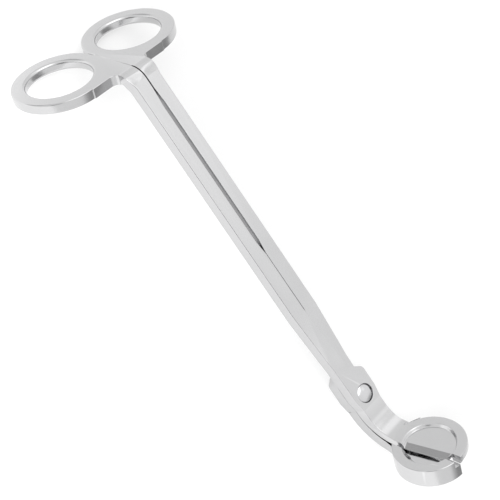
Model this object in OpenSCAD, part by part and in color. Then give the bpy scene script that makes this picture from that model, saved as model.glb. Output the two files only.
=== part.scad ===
// Candle wick trimmer in stainless steel: two cranked scissor levers on one rivet.
// The handle end carries two finger rings, the far end a flat round head made of a
// cutting plate (upper lever) and a half cup (lower lever) that catches the trimmed wick.
// Levers are drawn closed, then tipped so that the tool lies on a table, on the back
// edges of the rings and on the outside of the head bend.

/* [Finger rings] */
// outside diameter of a ring
ring_d = 30.1; // [24:0.1:40]
// diameter of the finger hole
hole_d = 21; // [16:0.1:32]
// distance between the hole centres
ring_pitch = 29.8; // [26:0.1:44]
// thickness of the ring plate
ring_t = 3.3; // [2:0.1:5]
// from the hole centre forward to the fold into the shank
ring_to_fold = 20.6; // [16:0.1:30]
// from the hole centre forward to the flat front edge of the ring
ring_front = 15.4; // [12:0.1:20]
// half width of the web where it folds into the shank
web_half = 5.8; // [5:0.1:9]
// gap along the centre line between the closed rings
seam_gap = 0.12; // [0.1:0.01:1]

/* [Shanks] */
// length of a shank between the two bends, along its upper face
shank_len = 134.8; // [90:0.1:180]
// fall of the shank below the ring plane, degrees
shank_angle = 58.1; // [30:0.1:75]
// width of a bar
bar_w = 4.5; // [3:0.1:8]
// thickness of a bar
bar_t = 4.2; // [3:0.1:8]
// gap between the two closed bars over the length that is ground back
bar_gap = 1.1; // [0.4:0.1:4]
// where that ground length starts, measured from the fold
relief_start = 8; // [4:1:30]
// where it ends
relief_end = 63; // [40:1:80]
// gap between the two closed bars at the fold
fold_gap = 0.44; // [0.1:0.02:1]
// radius of the fold between ring and shank
fold_r = 6; // [4:0.1:6]

/* [Pivot] */
// distance of the rivet from the fold, along the shank
pivot_s = 122.4; // [80:0.1:170]
// half width of the lap plates at the rivet
lap_half = 4.8; // [4:0.1:8]
// gap between the two lap plates
lap_gap = 0.1; // [0.05:0.01:0.4]
// where the bars start stepping up or down into the laps
ramp_start = 89; // [60:1:100]
// where the step ends
ramp_end = 110; // [102:1:112]
// diameter of the rivet shank
rivet_d = 4.2; // [3:0.1:6]
// diameter of the rivet heads
rivet_head_d = 5.9; // [5:0.1:8]
// height of the rivet heads with their dome
rivet_head_t = 1.2; // [0.6:0.1:2]
// height of the low dome on each rivet head
rivet_dome = 0.45; // [0.2:0.05:1]

/* [Head] */
// outside diameter of the round head
head_d = 23.6; // [18:0.1:34]
// from the head bend forward to the centre of the head
neck_len = 18.1; // [14:0.1:30]
// rise of the head plane against the ring plane, degrees
head_angle = 4.1; // [-10:0.1:20]
// half width of the neck at the head bend
neck_half = 4.1; // [3:0.1:7]
// thickness of the cutting plate
blade_t = 2.1; // [1.5:0.1:4]
// width of the raised rim of the cutting plate and of the cup
rim_w = 3.1; // [2:0.1:5]
// depth of the recess inside the rim of the cutting plate
recess = 1; // [0.5:0.1:1.5]
// how far the cutting edge passes the middle of the head
edge_past = 3.2; // [1:0.1:5]
// slant of the cutting edge, degrees
edge_slant = 8.5; // [0:0.5:15]
// height of the half cup
cup_h = 6.9; // [5:0.1:12]
// depth of its hollow
cup_hollow = 3; // [3:0.1:6]
// radius of the flat floor of the hollow
cup_floor_r = 6.7; // [4:0.1:8]
// outer face of the straight wall of the cup, measured from the middle of the head
wall_y = -1; // [-3:0.1:3]
// thickness of that straight wall
wall_t = 1.2; // [0.8:0.1:3]

/* [Hidden] */
$fn = 96;
steel = [0.80, 0.81, 0.82];
big = 60;
cut = 0.01;

// the bars and where their faces lie, in the shank frame
seam = seam_gap / 2;                   // inner face of the rings and of the bars by the laps
bar_in = bar_gap / 2;                  // inner face of the bars where they are ground back
bar_out = bar_in + bar_w;
step = bar_t / 2;                      // each lap leaves the bar's level by half its thickness
lap_top = step;                        // upper face of the upper lap
lap_mid = -step;                       // level where the laps meet
lap_low = lap_mid - bar_t;             // lower face of the lower lap
shank_end = pivot_s + 4;               // where the shank hands over to the head piece
relief_run = 4;                        // run-out at each end of the ground length
shoulder = pivot_s - 10.6;             // where the lap starts to reach over the centre line
shoulder_run = 3.4;                    // length of the slanted shoulder
blunt = 0.25;                          // depth of the small chamfer that ends it
lap_run = 4;                           // a lap reaches its full width this far before the rivet
web_end = 4.5;                         // where the web has narrowed to the bar
web_taper = 3.5;                       // length over which it narrows
facet_end = 3.4;                       // where the facet on the fold meets the bar
facet_tilt = 15.3;                     // its fall towards the web, degrees
facet_twist = -3;                      // its twist outwards, degrees
split_x = -3.6;                        // where the ring hands over to the shank
web_fillet = 2.3;                      // radius between the web and the front of the ring

// head sizes
head_r = head_d / 2;
well_r = head_r - rim_w;
floor_r = well_r - 0.6;                // radius of the recess floor; its step leans in
flare = 0.5;                           // the neck widens by this much where it meets the head
edge_bevel = 2.2;                      // width of the ground bevel on the cutting edge
edge_flat = 0.2;                       // thickness left under the bevel
bevel_start = -7;                      // the bevel starts this far along the head
blade_gap = 0.3;                       // room between the plate and the straight wall
neck_gap = 0.85;                       // room between the two necks for the swing
neck_reach = 8.5;                      // how far that room runs into the cup
side_gap = 1.35;                       // room between the neck and the cup rim beside it
rim_end = 0.3;                         // the plate's rim stops this far past the middle
stop_low = 3.2;                        // depth of the stop under the rim
stop_t = 1.2;                          // thickness of the stop
rim_notch = 3.1;                       // the cup's rim stops this far before the middle
neck_run = 2.5;                        // the necks start to widen this far before the head
overlap = 0.4;                         // how far the necks run into the round head
neck_back = neck_len + 14;             // where the neck outline starts, behind the head bend
cup_join = 5;                          // how far the lower neck runs into the cup

// rivet sizes: a running fit in the upper lap, a tight fit in the lower one
run_gap = 0.05;
seat_gap = 0.15;                       // room around a rivet head in its counterbore
seat_t = rivet_head_t + 0.1;           // depth of the counterbores

// radii of the head bend: plate top, plate underside, lower neck top, lower neck underside
bend_r = [11, 14.5, 15, 20];

// unit directions in the side plane (x forward, z up)
function dir(a) = [cos(a), sin(a)];
function left(a) = [-sin(a), cos(a)];
shank_dir = dir(-shank_angle);
shank_up = left(-shank_angle);
head_dir = dir(head_angle);
head_up = left(head_angle);
head_c = shank_len * shank_dir + neck_len * head_dir;

// a point of the side plane given along and above the shank, or along and above the head
function on_shank(s, h) = s * shank_dir + h * shank_up;
function on_head(r, h) = head_c + r * head_dir + h * head_up;

// where a line at height h over the shank meets a line at height k over the head
function meet(h, k) =
    let (s = (k + head_c * head_up - h * (shank_up * head_up)) / (shank_dir * head_up))
    on_shank(s, h);

// an arc of radius r that rounds the corner v between headings a and b
function corner(v, a, b, r, n = 14) =
    let (turn = sign(b - a), run = r * tan(abs(b - a) / 2))
    let (c = v - run * dir(a) + turn * r * left(a))
    [for (i = [0 : n]) let (t = a + (b - a) * i / n) c - turn * r * left(t)];

// how the tool lies: the table touches the ring backs and the underside of the head bend
ring_back = [-ring_to_fold - ring_d / 2, -ring_t];
low_corner = meet(lap_low, -cup_h);
half_turn = (shank_angle + head_angle) / 2;
low_centre = low_corner - bend_r[3] * tan(half_turn) * shank_dir + bend_r[3] * shank_up;
to_centre = low_centre - ring_back;
table_angle = atan2(to_centre[1], to_centre[0]) - asin(bend_r[3] / norm(to_centre));

// ends of the lying tool, measured along the table, and the height of the table
function along(p) = p * dir(table_angle);
function over(p) = p * left(table_angle);
back_end = along([ring_back[0], 0]);
cup_tip_r = sqrt(head_r * head_r - wall_y * wall_y);
front_end = along(on_head(cup_tip_r, -cup_h));
table_z = over(ring_back);

module lying() {
    translate([-(back_end + front_end) / 2, 0, -table_z]) rotate([0, table_angle, 0]) children();
}

module shank_frame() {
    rotate([0, shank_angle, 0]) children();
}

module head_frame() {
    translate([head_c[0], 0, head_c[1]]) rotate([0, -head_angle, 0]) children();
}

// a side-plane outline carried across the tool from y0 to y1
module across(y0, y1, outline) {
    translate([0, y1, 0]) rotate([90, 0, 0]) linear_extrude(y1 - y0) polygon(outline);
}

// ---- finger rings (drawn on the left side, +y) ----

module ring_outline() {
    ring_x = -ring_to_fold;
    front_x = ring_x + ring_front;
    difference() {
        union() {
            translate([ring_x, ring_pitch / 2]) circle(d = ring_d);
            // the web between the ring and the shank, and the full shoulder of the ring
            translate([ring_x, seam]) square([split_x - ring_x, web_half - seam]);
            translate([ring_x, web_half - 1])
                square([ring_front, ring_pitch / 2 - web_half + 1]);
            translate([front_x - 1, web_half - 1])
                square([split_x - front_x + 1, web_fillet + 1]);
        }
        translate([ring_x, ring_pitch / 2]) circle(d = hole_d);
        translate([front_x + web_fillet, web_half + web_fillet]) circle(r = web_fillet);
        translate([ring_x - big / 2, seam - big]) square([big, big]);
    }
}

module finger_ring() {
    translate([0, 0, -ring_t]) linear_extrude(ring_t) ring_outline();
}

// ---- shanks ----

// side outline of a shank whose lap steps by d from the bar's level
function shank_side(d) = concat(
    [[split_x, 0]],
    corner([0, 0], 0, -shank_angle, fold_r),
    [on_shank(ramp_start, 0), on_shank(ramp_end, d), on_shank(shank_end, d)],
    [on_shank(shank_end, d - bar_t), on_shank(ramp_end, d - bar_t), on_shank(ramp_start, -bar_t)],
    [on_shank((ring_t - bar_t * cos(shank_angle)) / sin(shank_angle), -bar_t), [split_x, -ring_t]]);

// one bar on the left side, ground back along part of its inner face, then the lap across
// both sides behind a slanted shoulder; the lap narrows from the rivet to the head bend
module shank_plan() {
    polygon([[-big, fold_gap / 2], [relief_start, fold_gap / 2],
             [relief_start + relief_run, bar_in],
             [relief_end, bar_in], [relief_end + relief_run, seam], [shoulder, seam],
             [shoulder + shoulder_run, -lap_half + blunt],
             [shoulder + shoulder_run + 4 * blunt, -lap_half],
             [pivot_s, -lap_half], [shank_end, -neck_half], [shank_end, neck_half],
             [pivot_s, lap_half], [pivot_s - lap_run, lap_half], [ramp_end - lap_run, bar_out],
             [web_end, bar_out], [web_end - web_taper, web_half], [-big, web_half]]);
}

// flat facet ground across the outer corner of the fold
module fold_facet() {
    translate([facet_end, bar_out, 0]) rotate([facet_twist, -facet_tilt, 0])
        translate([-big, -big / 2, 0]) cube([big, big, big]);
}

module shank(d) {
    difference() {
        intersection() {
            across(-big / 2, big / 2, shank_side(d));
            shank_frame() translate([0, 0, -big / 2]) linear_extrude(big) shank_plan();
        }
        shank_frame() intersection() {
            fold_facet();
            translate([-step / 2, 0, -step]) cube([facet_end + step / 2, big, 2 * step]);
        }
    }
}

// ---- head ----

// neck seen square to the head's face: it narrows into the bend and flares to the head,
// by flare on the left side and by right_flare on the right
module neck_plan(front, right_flare) {
    polygon([[-neck_back, -neck_half], [-head_r - neck_run, -neck_half],
             [-head_r + overlap, -neck_half - right_flare], [front, -neck_half - right_flare],
             [front, neck_half + flare], [-head_r + overlap, neck_half + flare],
             [-head_r - neck_run, neck_half], [-neck_back, neck_half]]);
}

// side outline of a head piece: two levels of the lap carried round the bend into the head
function head_side(shank_h, head_h, radii, tip) =
    let (top = corner(meet(shank_h[0], head_h[0]), -shank_angle, head_angle, radii[0]))
    let (low = corner(meet(shank_h[1], head_h[1]), -shank_angle, head_angle, radii[1]))
    concat([on_shank(shank_end, shank_h[0])], top,
           [on_head(tip, head_h[0]), on_head(tip, head_h[1])],
           [for (i = [len(low) - 1 : -1 : 0]) low[i]], [on_shank(shank_end, shank_h[1])]);

// y of the slanted cutting edge at r along the head
function edge_y(r) = r * tan(edge_slant) - edge_past;

// the part of the round head that the cutting plate covers
module plate_plan() {
    edge_start = (edge_past - neck_half) / tan(edge_slant);
    intersection() {
        circle(r = head_r);
        polygon([[-head_r - 1, head_r + 1], [-head_r - 1, -neck_half], [edge_start, -neck_half],
                 [floor_r, edge_y(floor_r)], [floor_r, -rim_end], [head_r + 1, -rim_end],
                 [head_r + 1, head_r + 1]]);
    }
}

module upper_plate() {
    difference() {
        union() {
            intersection() {
                across(-big / 2, big / 2,
                    head_side([lap_top, lap_mid], [0, -blade_t], [bend_r[0], bend_r[1]], head_r + 1));
                head_frame() translate([0, 0, -big / 2]) linear_extrude(big) union() {
                    neck_plan(-floor_r, 0);
                    plate_plan();
                }
            }
            // stop under the end of the rim, beside the wall of the cup
            head_frame() translate([floor_r + 0.3, -rim_end, -stop_low])
                cube([head_r - 0.9 - floor_r, stop_t, stop_low - 1]);
        }
        head_frame() {
            // recess inside the rim
            translate([0, 0, -recess]) cylinder(h = recess + cut, r1 = floor_r, r2 = well_r + cut);
            // ground bevel along the cutting edge
            translate([0, -edge_past, 0]) rotate([0, 0, edge_slant]) translate([bevel_start, 0, 0])
                rotate([90, 0, 90]) linear_extrude(floor_r - bevel_start)
                polygon([[-2, -blade_t + edge_flat], [0, -blade_t + edge_flat],
                         [edge_bevel, -recess], [edge_bevel, 1], [-2, 1]]);
        }
    }
}

module half_cup() {
    wall_in = wall_y - wall_t;
    neck_room = neck_half + side_gap;
    difference() {
        union() {
            // round wall and floor
            head_frame() intersection() {
                translate([0, 0, -cup_h]) cylinder(h = cup_h, r = head_r);
                translate([-big / 2, wall_y - big, -big / 2]) cube([big, big, big]);
            }
            // neck under the cutting plate
            intersection() {
                across(-big / 2, big / 2,
                    head_side([lap_mid - lap_gap, lap_low], [-blade_t - neck_gap, -cup_h],
                              [bend_r[2], bend_r[3]], 0));
                head_frame() translate([0, 0, -big / 2]) linear_extrude(big)
                    intersection() {
                        neck_plan(-head_r + cup_join, flare);
                        polygon([[-big, big], [-big, -big], [-head_r + cup_join, -big],
                                 [-head_r + cup_join, wall_y], [-head_r + 1, neck_half + flare],
                                 [-head_r + 1, big]]);
                    }
            }
        }
        head_frame() {
            // hollow of the cup, with a straight wall left along the middle
            intersection() {
                translate([0, 0, -cup_hollow])
                    cylinder(h = cup_hollow + cut, r1 = cup_floor_r, r2 = well_r + cut);
                translate([-big / 2, wall_in - big, -big / 2]) cube([big, big, big]);
            }
            // room for the cutting plate over the straight wall and the tip of the round wall
            translate([-head_r + cup_join - 1, -rim_notch, -blade_t - blade_gap])
                cube([big, big, big]);
            // room for the upper neck
            translate([-head_r - 0.5, -neck_room, -blade_t - neck_gap]) cube([neck_reach, big, big]);
        }
    }
}

// ---- rivet ----

module rivet_bore(clear) {
    shank_frame() translate([pivot_s, 0, lap_low - 1])
        cylinder(h = 2 * bar_t + 3, d = rivet_d + 2 * clear);
}

// counterbore for a rivet head, floor at height h, opening upwards or downwards
module rivet_seat(h, up) {
    shank_frame() translate([pivot_s, 0, up ? h : h - bar_t / 2])
        cylinder(h = bar_t / 2, d = rivet_head_d + 2 * seat_gap);
}

module rivet_head(h, way) {
    base = rivet_head_t - rivet_dome;
    dome_r = (rivet_head_d * rivet_head_d / 4 + rivet_dome * rivet_dome) / (2 * rivet_dome);
    shank_frame() translate([pivot_s, 0, h]) mirror([0, 0, way > 0 ? 0 : 1]) {
        cylinder(h = base, d = rivet_head_d);
        intersection() {
            translate([0, 0, base - cut]) cylinder(h = rivet_dome + 1, d = rivet_head_d);
            translate([0, 0, base + rivet_dome - dome_r]) sphere(r = dome_r);
        }
    }
}

// ---- the pieces ----

module upper_finger_ring() {
    color(steel) lying() mirror([0, 1, 0]) finger_ring();
}

module upper_shank() {
    color(steel) lying() difference() {
        mirror([0, 1, 0]) shank(lap_top);
        rivet_bore(run_gap);
        rivet_seat(lap_top - seat_t, true);
    }
}

module cutting_plate() {
    color(steel) lying() upper_plate();
}

module lower_finger_ring() {
    color(steel) lying() finger_ring();
}

module lower_shank() {
    color(steel) lying() difference() {
        shank(lap_mid - lap_gap);
        rivet_bore(0);
        rivet_seat(lap_low + seat_t - lap_gap, false);
    }
}

module catch_cup() {
    color(steel) lying() half_cup();
}

module pivot_rivet() {
    top_seat = lap_top - seat_t + run_gap;
    low_seat = lap_low + seat_t - lap_gap;
    color(steel) lying() union() {
        rivet_head(top_seat, 1);
        shank_frame() translate([pivot_s, 0, low_seat - cut])
            cylinder(h = top_seat - low_seat + 2 * cut, d = rivet_d);
        rivet_head(low_seat, -1);
    }
}

upper_finger_ring();
upper_shank();
cutting_plate();
lower_finger_ring();
lower_shank();
catch_cup();
pivot_rivet();
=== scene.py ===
import math

import bmesh
import bpy
from mathutils import Matrix, Vector


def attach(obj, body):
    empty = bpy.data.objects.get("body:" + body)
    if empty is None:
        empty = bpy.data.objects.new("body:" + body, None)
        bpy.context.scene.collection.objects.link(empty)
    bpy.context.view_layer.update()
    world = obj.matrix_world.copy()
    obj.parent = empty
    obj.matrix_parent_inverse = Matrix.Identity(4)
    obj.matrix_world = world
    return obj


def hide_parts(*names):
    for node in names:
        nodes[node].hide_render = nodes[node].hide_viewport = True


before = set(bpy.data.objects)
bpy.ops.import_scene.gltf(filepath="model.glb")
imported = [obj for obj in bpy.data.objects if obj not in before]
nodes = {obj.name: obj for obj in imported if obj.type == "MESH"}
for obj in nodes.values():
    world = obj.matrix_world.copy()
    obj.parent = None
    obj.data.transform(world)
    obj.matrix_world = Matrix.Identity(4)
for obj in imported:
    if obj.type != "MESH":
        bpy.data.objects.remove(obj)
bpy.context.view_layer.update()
scene = bpy.context.scene
MM = 0.001

# where the tool's own planes lie in the row frame
FOLD = Vector((-66.33, 0, 28.72)) * MM
RING_FORWARD = Vector((0.66853, 0, 0.74368))
RING_UP = Vector((-0.74368, 0, 0.66853))
SHANK_FORWARD = Vector((0.98465, 0, -0.17457))
SHANK_UP = Vector((0.17457, 0, 0.98465))
HEAD_FORWARD = Vector((0.61365, 0, 0.78958))
HEAD_UP = Vector((-0.78958, 0, 0.61365))
HEAD_CENTRE = Vector((77.504, 0, 19.477)) * MM
PIVOT = Vector((53.8116, 0, 5.2338)) * MM

# where a lever's mesh is cut into its three pieces: ring and bar, then lap and head
SPLIT_X = -3.5 * MM
SHANK_END = 126.4 * MM

# landmarks for edge_round, in millimetres along and across those planes
RING_END = -3.7
HOLE_X = -20.6
HOLE_Y = 14.9
BAR_END = 104
LAP_END = 133
PIVOT_S = 122.4
FOOT_TOP = -6

# mesh repair
WELD_NEAR = 0.002
UNION_NEAR = 0.02
DEGENERATE = 0.004
FLAT_ANGLE = math.radians(0.6)

# which edges are rounded and which are shaded as hard ones
ROUND_ANGLE = math.radians(20)
HARD_ANGLE = math.radians(33)
ROUND_SEGMENTS = 4
LEAST_ROUND = 0.01
EASE_PASSES = 120

RIVET_ROUND = 0.32
RIVET_ANGLE = math.radians(40)

LEVERS = {
    "upper_lever": ["upper_finger_ring", "upper_shank", "cutting_plate"],
    "lower_lever": ["lower_finger_ring", "lower_shank", "catch_cup"],
}
SLOTS = {
    "upper_finger_ring": "handle_steel",
    "lower_finger_ring": "handle_steel",
    "upper_shank": "shank_steel",
    "lower_shank": "shank_steel",
    "cutting_plate": "head_steel",
    "catch_cup": "head_steel",
    "pivot_rivet": "rivet_steel",
}


def link(ob):
    scene.collection.objects.link(ob)
    return ob


def weld(mesh, near=WELD_NEAR):
    """Joins the corners that belong together and merges flat neighbours."""
    bm = bmesh.new()
    bm.from_mesh(mesh)
    bmesh.ops.remove_doubles(bm, verts=bm.verts, dist=near)
    bmesh.ops.dissolve_limit(bm, angle_limit=FLAT_ANGLE, verts=bm.verts, edges=bm.edges)
    bmesh.ops.dissolve_degenerate(bm, dist=DEGENERATE, edges=bm.edges)
    loose = [e for e in bm.edges if not e.link_faces]
    bmesh.ops.delete(bm, geom=loose, context="EDGES")
    bad = sum(1 for e in bm.edges if not e.is_manifold)
    bm.to_mesh(mesh)
    bm.free()
    return bad


def applied(ob):
    """The object with its modifiers made part of its mesh."""
    dg = bpy.context.evaluated_depsgraph_get()
    mesh = bpy.data.meshes.new_from_object(ob.evaluated_get(dg))
    ob.modifiers.clear()
    ob.data = mesh
    return ob


def copy_node(name):
    """A CAD node's shape as a new object, in millimetres."""
    mesh = nodes[name].data.copy()
    mesh.transform(Matrix.Scale(1000, 4))
    mesh.materials.clear()
    bad = weld(mesh)
    if bad:
        print("open edges in", name, bad)
    return link(bpy.data.objects.new(name + "_copy", mesh))


def one_lever(members):
    """A lever's three CAD parts as one mesh, so that roundings run on from part to part."""
    base = copy_node(members[0])
    for name in members[1:]:
        other = copy_node(name)
        join = base.modifiers.new("join", "BOOLEAN")
        join.operation = "UNION"
        join.solver = "EXACT"
        join.object = other
        applied(base)
        bpy.data.objects.remove(other)
        bad = weld(base.data, UNION_NEAR)
        print("union", name, "open edges", bad, "faces", len(base.data.polygons))
    part_flats(base.data)
    return base


def part_flats(mesh):
    """Parts the flat faces round the finger hole and the rivet along straight lines only."""
    bm = bmesh.new()
    bm.from_mesh(mesh)
    holes = FOLD + HOLE_X * MM * RING_FORWARD
    for centre, normal in ((holes, RING_FORWARD), (PIVOT, SHANK_FORWARD)):
        cut = bmesh.ops.bisect_plane(
            bm, geom=bm.verts[:] + bm.edges[:] + bm.faces[:], dist=1e-4,
            plane_co=centre * 1000, plane_no=normal)
        for e in cut["geom_cut"]:
            if isinstance(e, bmesh.types.BMEdge):
                e.seam = True
    bmesh.ops.dissolve_limit(
        bm, angle_limit=FLAT_ANGLE, verts=bm.verts, edges=bm.edges, delimit={"SEAM"})
    bm.to_mesh(mesh)
    bm.free()


def local(point, origin, forward, up_axis):
    """A point in millimetres as (along, across, above) in one of the tool's planes."""
    d = point - origin * 1000
    return d.dot(forward), point.y, d.dot(up_axis)


def fade(x, x0, x1, a, b):
    """Goes smoothly from a at x0 to b at x1."""
    t = min(1, max(0, (x - x0) / (x1 - x0)))
    return a + (b - a) * t * t * (3 - 2 * t)


def ring_round(x, side, upright):
    """Rounding of a finger ring's edge."""
    if math.hypot(x - HOLE_X, side - HOLE_Y) < 12:  # rim of the finger hole
        return 1.0
    if side < 1 and x > -20.7:  # seam between the two rings
        return 0
    if upright > 0.9:
        return 0.6
    return fade(x, -9, -4, 0.55, 0.35)


def bar_round(s, side):
    """Rounding of a bar's edge."""
    if side < 1.2:  # along the slot between the bars
        return 0.36 if 8 < s < 67 else 0.06 if s > 8 else 0
    return 0.32 if s < 88 else 0.2


def lap_round(s, side, t, upright):
    """Rounding of a lap plate's edge."""
    if math.hypot(s - PIVOT_S, side) < 3.6:  # bore and rivet seat
        return 0.10
    if upright > 0.8:
        return 0.5 if s < 118 else 0.1
    return 0.14 if t > 1.5 or t < -6 else 0.05


def head_round(r, y, k):
    """Rounding of an edge of the cutting plate or the cup."""
    out = math.hypot(r, y)
    if k < FOOT_TOP:  # foot of the cup and underside of the neck
        return 0.9 if 11.5 < out < 12 and y < -1.2 else 0.14
    if out > 11.4 and k > -0.3:  # outer rim
        return 0.28
    return 0.12 if k > -0.2 else 0.05


def edge_round(a, b):
    """How far the edge from a to b is rounded off, in millimetres."""
    mid = (a + b) / 2
    way = (b - a).normalized()
    x, y, _ = local(mid, FOLD, RING_FORWARD, RING_UP)
    s, _, t = local(mid, FOLD, SHANK_FORWARD, SHANK_UP)
    r, _, k = local(mid, HEAD_CENTRE, HEAD_FORWARD, HEAD_UP)
    if x < RING_END:
        return ring_round(x, abs(y), abs(way.dot(RING_UP)))
    if s < BAR_END:
        return bar_round(s, abs(y))
    if s < LAP_END:
        return lap_round(s, abs(y), t, abs(way.dot(SHANK_UP)))
    return head_round(r, y, k)


def eased(bm, width):
    """Lowers the widths until neighbouring roundings fit on the faces between them."""
    for _ in range(EASE_PASSES):
        done = True
        for f in bm.faces:
            for c in f.loops:
                pair = [e for e in (c.link_loop_prev.edge, c.edge) if e in width]
                if len(pair) < 2:
                    continue
                a = c.vert.co - c.link_loop_prev.vert.co
                b = c.link_loop_next.vert.co - c.vert.co
                turn = abs(a.cross(b).dot(f.normal)) / (a.length * b.length)
                along = a.dot(b) / (a.length * b.length)
                low, high = sorted(pair, key=width.get)
                room = 0.45 * min(a.length, b.length) * turn
                if turn > 0.004 and width[high] - width[low] * along > room + 1e-4:
                    fit = width[low] * along + 0.95 * room
                    width[high] = fit if along > 0.8 else max(fit, 0.85 * width[high])
                    done = False
        if done:
            break
    return width


def rounded(ob):
    """Rounds each sharp edge by its own amount."""
    bm = bmesh.new()
    bm.from_mesh(ob.data)
    bm.normal_update()
    weight = bm.edges.layers.float.new("bevel_weight_edge")
    width = {e: edge_round(e.verts[0].co, e.verts[1].co)
             for e in bm.edges if e.is_manifold and e.calc_face_angle(0) > ROUND_ANGLE}
    for e, w in eased(bm, width).items():
        e[weight] = w if w > LEAST_ROUND else 0
    bm.to_mesh(ob.data)
    bm.free()
    soften = ob.modifiers.new("round", "BEVEL")
    soften.width = 1.0  # the weights are widths in millimetres
    soften.segments = ROUND_SEGMENTS
    soften.limit_method = "WEIGHT"
    soften.use_clamp_overlap = False
    soften.miter_outer = "MITER_SHARP"
    soften.loop_slide = False
    return applied(ob)


def cut_piece(source, name, planes):
    """A closed part of source on the far side of each plane (point, normal), points in mm."""
    bm = bmesh.new()
    bm.from_mesh(source.data)
    for point, normal in planes:
        cut = bmesh.ops.bisect_plane(
            bm, geom=bm.verts[:] + bm.edges[:] + bm.faces[:], dist=1e-5,
            plane_co=point, plane_no=normal, clear_inner=True)
        edge = [e for e in cut["geom_cut"] if isinstance(e, bmesh.types.BMEdge)]
        bmesh.ops.holes_fill(bm, edges=edge, sides=0)
    bmesh.ops.recalc_face_normals(bm, faces=bm.faces)
    mesh = bpy.data.meshes.new(name)
    bm.to_mesh(mesh)
    bm.free()
    return link(bpy.data.objects.new(name, mesh))


def finish_mesh(ob):
    """Back to metres, with smooth shading that stops at hard edges."""
    ob.data.transform(Matrix.Scale(MM, 4))
    bm = bmesh.new()
    bm.from_mesh(ob.data)
    bad = sum(1 for e in bm.edges if not e.is_manifold)
    for f in bm.faces:
        f.smooth = True
    for e in bm.edges:
        e.smooth = len(e.link_faces) == 2 and e.calc_face_angle(0) < HARD_ANGLE
    bm.to_mesh(ob.data)
    bm.free()
    if bad:
        print("open edges in", ob.name, bad)
    even = ob.modifiers.new("even", "WEIGHTED_NORMAL")
    even.keep_sharp = True
    even.weight = 80
    return ob


pieces = {}
ring_cut = FOLD * 1000 + RING_FORWARD * SPLIT_X * 1000
head_cut = FOLD * 1000 + SHANK_FORWARD * SHANK_END * 1000
for body, members in LEVERS.items():
    lever = rounded(one_lever(members))
    ring, shank, head = members
    parts = {
        ring: [(ring_cut, -RING_FORWARD)],
        shank: [(ring_cut, RING_FORWARD), (head_cut, -SHANK_FORWARD)],
        head: [(head_cut, SHANK_FORWARD)],
    }
    for node, planes in parts.items():
        piece = finish_mesh(cut_piece(lever, node.replace("_", "-") + "-steel", planes))
        pieces[node] = piece
        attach(piece, body)
        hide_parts(node)
    bpy.data.objects.remove(lever)

rivet = copy_node("pivot_rivet")
bevel = rivet.modifiers.new("round", "BEVEL")
bevel.width = RIVET_ROUND
bevel.segments = ROUND_SEGMENTS
bevel.limit_method = "ANGLE"
bevel.angle_limit = RIVET_ANGLE
bevel.use_clamp_overlap = False
rivet = applied(rivet)
rivet.name = "pivot-rivet-steel"
finish_mesh(rivet)
pieces["pivot_rivet"] = rivet
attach(rivet, "lower_lever")
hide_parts("pivot_rivet")


# ---- materials ----

POLISH = 0.035  # unevenness of the polish, in roughness
STREAK = 0.03  # the same for the grain
WORN_SMOOTHER = -0.05
GRAIN_BUMP = 0.00002


def noise(tree, vector, scale, detail, roughness):
    n = tree.nodes.new("ShaderNodeTexNoise")
    n.inputs["Scale"].default_value = scale
    n.inputs["Detail"].default_value = detail
    n.inputs["Roughness"].default_value = roughness
    tree.links.new(vector, n.inputs["Vector"])
    return n.outputs["Fac"]


def remap(tree, value, from_min, from_max, to_min=0.0, to_max=1.0, kind="LINEAR"):
    n = tree.nodes.new("ShaderNodeMapRange")
    n.interpolation_type = kind
    n.inputs["From Min"].default_value = from_min
    n.inputs["From Max"].default_value = from_max
    n.inputs["To Min"].default_value = to_min
    n.inputs["To Max"].default_value = to_max
    tree.links.new(value, n.inputs["Value"])
    return n.outputs["Result"]


def shade(colour, factor):
    return (*[min(1, c * factor) for c in colour], 1)


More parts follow.
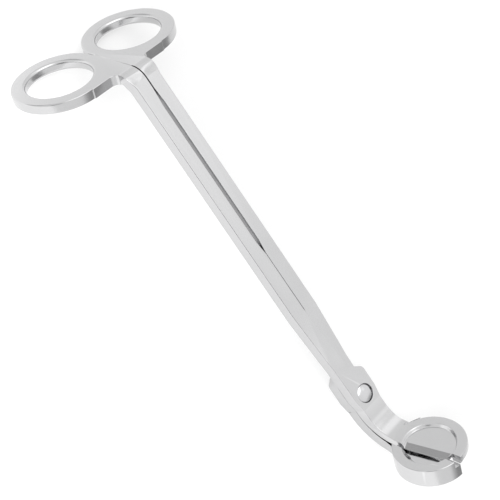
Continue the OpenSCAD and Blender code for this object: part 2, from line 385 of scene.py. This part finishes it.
def steel(name, colour, rough, grain_axes, grain):
    """Brushed and polished steel: a fine grain, uneven polish, smoother worn edges and a
    painted highlight that brightens the convex edges.
    """
    m = bpy.data.materials.new(name)
    m.use_nodes = True
    t = m.node_tree
    join = t.links.new
    bsdf = t.nodes["Principled BSDF"]
    bsdf.inputs["Metallic"].default_value = 1.0
    coord = t.nodes.new("ShaderNodeTexCoord")
    turn = t.nodes.new("ShaderNodeMapping")
    turn.inputs["Rotation"].default_value = grain_axes
    turn.inputs["Scale"].default_value = grain
    join(coord.outputs["Object"], turn.inputs["Vector"])
    lines = noise(t, turn.outputs["Vector"], 1.0, 4.0, 0.6)
    cloud = noise(t, coord.outputs["Object"], 90.0, 3.0, 0.55)
    # convex edges by pointiness: smoother there as worn steel, and lighter in colour as a
    # painted highlight
    edge_wear_and_sheen = remap(t, t.nodes.new("ShaderNodeNewGeometry").outputs["Pointiness"], 0.52, 0.60)
    # roughness: uneven polish and grain, smoother where it is worn
    both = t.nodes.new("ShaderNodeMath")
    both.operation = "ADD"
    join(remap(t, cloud, 0.3, 0.7, rough - POLISH, rough + POLISH), both.inputs[0])
    join(remap(t, lines, 0.3, 0.7, -STREAK, STREAK), both.inputs[1])
    less = t.nodes.new("ShaderNodeMath")
    less.operation = "MULTIPLY_ADD"
    less.inputs[1].default_value = WORN_SMOOTHER
    join(edge_wear_and_sheen, less.inputs[0])
    join(both.outputs["Value"], less.inputs[2])
    join(less.outputs["Value"], bsdf.inputs["Roughness"])
    # colour: slightly cloudy, with a painted highlight that brightens the convex edges
    tone = t.nodes.new("ShaderNodeMix")
    tone.data_type = "RGBA"
    tone.inputs["A"].default_value = shade(colour, 0.96)
    tone.inputs["B"].default_value = shade(colour, 1.03)
    join(cloud, tone.inputs["Factor"])
    # painted highlight: the convex edges mixed towards a lighter colour
    painted_edge_sheen = t.nodes.new("ShaderNodeMix")
    painted_edge_sheen.data_type = "RGBA"
    painted_edge_sheen.inputs["B"].default_value = shade(colour, 1.12)
    join(edge_wear_and_sheen, painted_edge_sheen.inputs["Factor"])
    join(tone.outputs["Result"], painted_edge_sheen.inputs["A"])
    join(painted_edge_sheen.outputs["Result"], bsdf.inputs["Base Color"])
    bump = t.nodes.new("ShaderNodeBump")
    bump.inputs["Strength"].default_value = 0.12
    bump.inputs["Distance"].default_value = GRAIN_BUMP
    join(lines, bump.inputs["Height"])
    join(bump.outputs["Normal"], bsdf.inputs["Normal"])
    return m


def tilt(forward):
    """The turn that lays the grain along one of the tool's planes."""
    return 0, math.atan2(forward.z, forward.x), 0


STEEL = (0.575, 0.575, 0.58)
RIVET = (0.62, 0.62, 0.63)
LOOKS = {
    "handle_steel": steel("handle steel", STEEL, 0.20, tilt(RING_FORWARD), (300, 2500, 2500)),
    "shank_steel": steel("shank steel", STEEL, 0.17, tilt(SHANK_FORWARD), (120, 3000, 3000)),
    "head_steel": steel("head steel", STEEL, 0.17, tilt(HEAD_FORWARD), (300, 2500, 2500)),
    "rivet_steel": steel("rivet steel", RIVET, 0.10, tilt(SHANK_FORWARD), (900, 900, 900)),
}
for node, piece in pieces.items():
    for mesh in (piece.data, nodes[node].data):
        mesh.materials.clear()
        mesh.materials.append(LOOKS[SLOTS[node]])


# ---- floor ----

FLOOR_RADIUS = 0.45

bm = bmesh.new()
bmesh.ops.create_circle(bm, cap_ends=True, segments=96, radius=FLOOR_RADIUS)
floor_mesh = bpy.data.meshes.new("floor")
bm.to_mesh(floor_mesh)
bm.free()
floor = link(bpy.data.objects.new("floor", floor_mesh))
# the floor glows as well as reflecting light, so the tool's shadows on it fade: painted light
glowing_floor = bpy.data.materials.new("light table")
glowing_floor.use_nodes = True
table = glowing_floor.node_tree
lit = table.nodes["Principled BSDF"]
lit.inputs["Base Color"].default_value = (0.4, 0.4, 0.4, 1)
lit.inputs["Roughness"].default_value = 0.9
lit.inputs["Specular IOR Level"].default_value = 0.1
lit.inputs["Emission Color"].default_value = (1, 1, 1, 1)
# the table glows less towards +Y, which is the part the ring tops mirror
place = table.nodes.new("ShaderNodeTexCoord")
xyz = table.nodes.new("ShaderNodeSeparateXYZ")
table.links.new(place.outputs["Object"], xyz.inputs["Vector"])
strength = remap(table, xyz.outputs["Y"], -0.035, 0.03, 0.74, 0.47, "SMOOTHSTEP")
table.links.new(strength, lit.inputs["Emission Strength"])
floor_mesh.materials.append(glowing_floor)


# ---- studio ----

WALL = 1.03
# soft round cards on the studio wall, set by what the tool's faces mirror in the photograph's
# view: direction, half angle of the full and of the fading part in degrees, brightness
CARDS = (
    ((0.337, 0.521, 0.785), 8, 30, 1.10),
    ((0.22, 0.53, 0.82), 2, 8, 1.30),
    ((-0.447, 0.521, 0.713), 5, 15, 1.45),
    ((-0.1, 0.05, 0.99), 21, 27, 2.3),
    ((0.853, 0.521, 0.044), 12, 34, 0.36),
    ((0.282, -0.831, 0.479), 12, 20, 0.05),
    ((-0.955, -0.13, 0.24), 9, 20, 0.52),
    ((-0.83, 0.521, -0.1), 14, 26, 0.98),
)

world = bpy.data.worlds.new("studio")
scene.world = world
world.use_nodes = True
wt = world.node_tree
sky = wt.nodes["Background"]
wcoord = wt.nodes.new("ShaderNodeTexCoord")


def mixed(factor, value):
    """A number mixed towards value by factor; returns its first input and its result."""
    mix = wt.nodes.new("ShaderNodeMix")
    mix.data_type = "FLOAT"
    mix.inputs["B"].default_value = value
    wt.links.new(factor, mix.inputs["Factor"])
    return mix.inputs["A"], mix.outputs["Result"]


def glow(direction, inner, outer, value):
    """A soft card: inner and outer half angles in degrees."""
    dot = wt.nodes.new("ShaderNodeVectorMath")
    dot.operation = "DOT_PRODUCT"
    dot.inputs[1].default_value = Vector(direction).normalized()
    wt.links.new(wcoord.outputs["Generated"], dot.inputs[0])
    edges = math.cos(math.radians(outer)), math.cos(math.radians(inner))
    return mixed(remap(wt, dot.outputs["Value"], *edges, kind="SMOOTHSTEP"), value)


level = None
for card in CARDS:
    behind, result = glow(*card)
    if level is None:
        behind.default_value = WALL
    else:
        wt.links.new(level, behind)
    level = result
# the cards light the steel; the backdrop itself stays white
path = wt.nodes.new("ShaderNodeLightPath")
behind, backdrop = mixed(path.outputs["Is Camera Ray"], WALL)
wt.links.new(level, behind)
wt.links.new(backdrop, sky.inputs["Strength"])
sky.inputs["Color"].default_value = (1, 1, 1, 1)


def area(name, location, target, size, power):
    data = bpy.data.lights.new(name, "AREA")
    data.shape = "SQUARE"
    data.size = size
    data.energy = power
    ob = link(bpy.data.objects.new(name, data))
    ob.location = location
    aim = Vector(target) - Vector(location)
    ob.rotation_euler = aim.to_track_quat("-Z", "Y").to_euler()
    return ob


side_light = area("side light", (0.0, -0.55, 0.5), (0, -0.05, 0), 0.5, 3.0)
side_light.visible_glossy = False  # or it shows as a white line on the bars' edges


# ---- camera, at the photograph's viewing angle ----

camera = bpy.data.cameras.new("camera")
camera.lens = 90.68
camera.sensor_width = 36
camera.clip_start = 0.01
eye = link(bpy.data.objects.new("camera", camera))
right = Vector((0.637273, 0.641556, 0.426954))
up = Vector((-0.769223, 0.563117, 0.301985))
back = Vector((-0.046685, -0.520870, 0.852358))
stand = Matrix.Translation((-0.02154, -0.20390, 0.34448))
eye.matrix_world = stand @ Matrix((right, up, back)).transposed().to_4x4()
scene.camera = eye
scene.view_settings.view_transform = "Standard"
scene.view_settings.look = "None"
